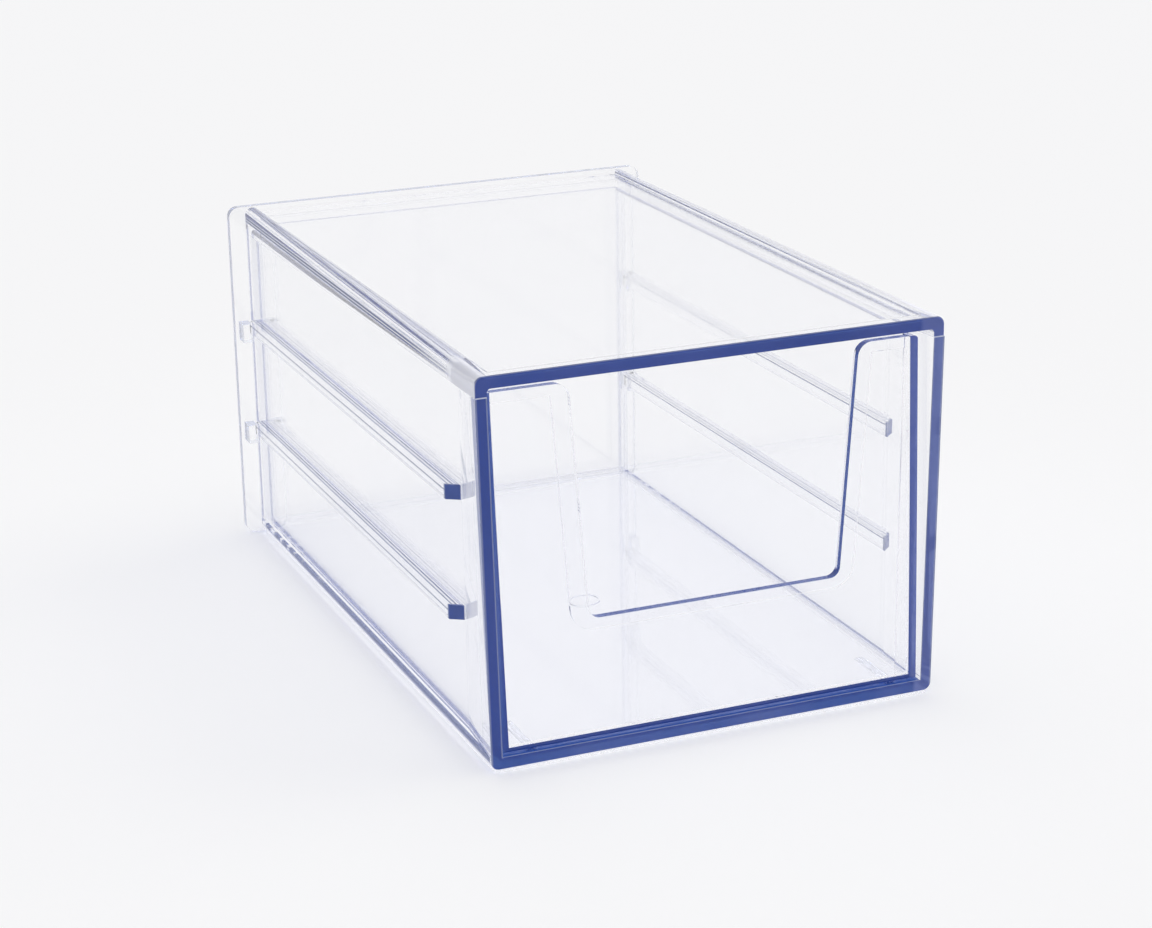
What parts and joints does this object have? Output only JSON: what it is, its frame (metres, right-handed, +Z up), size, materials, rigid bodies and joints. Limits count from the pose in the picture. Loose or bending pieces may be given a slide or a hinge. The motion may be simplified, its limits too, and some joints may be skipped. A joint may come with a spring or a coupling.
{
  "type": "desk case with pull-out drawer",
  "caption": "Clear moulded desk case with railed sides, a flanged back plate and a full-width pull-out drawer whose leaning front has a deep open notch.",
  "frame": {"origin": "centre of the overall box in plan, at the bottom of the case's foot", "axes": "+Z up, +Y from the drawer's front towards the back plate, +X to the right seen from the front"},
  "size_m": [0.2698, 0.405, 0.2082],
  "materials": {
    "clear_plastic": "polished, see-through, with deep blue light in its cut edges",
    "glide_plastic": "satin, see-through"
  },
  "bodies": {
    "case": {"case_shell": "clear_plastic", "top_cover": "clear_plastic", "back_plate": "clear_plastic", "floor_glide_left": "glide_plastic", "floor_glide_right": "glide_plastic"},
    "drawer": {"drawer_tray": "clear_plastic", "drawer_front": "clear_plastic"}
  },
  "joints": [
    {"name": "drawer_slide", "type": "slide", "parent": "case", "child": "drawer", "axis": [0, -1, 0], "range_m": [0, 0.3]}
  ]
}
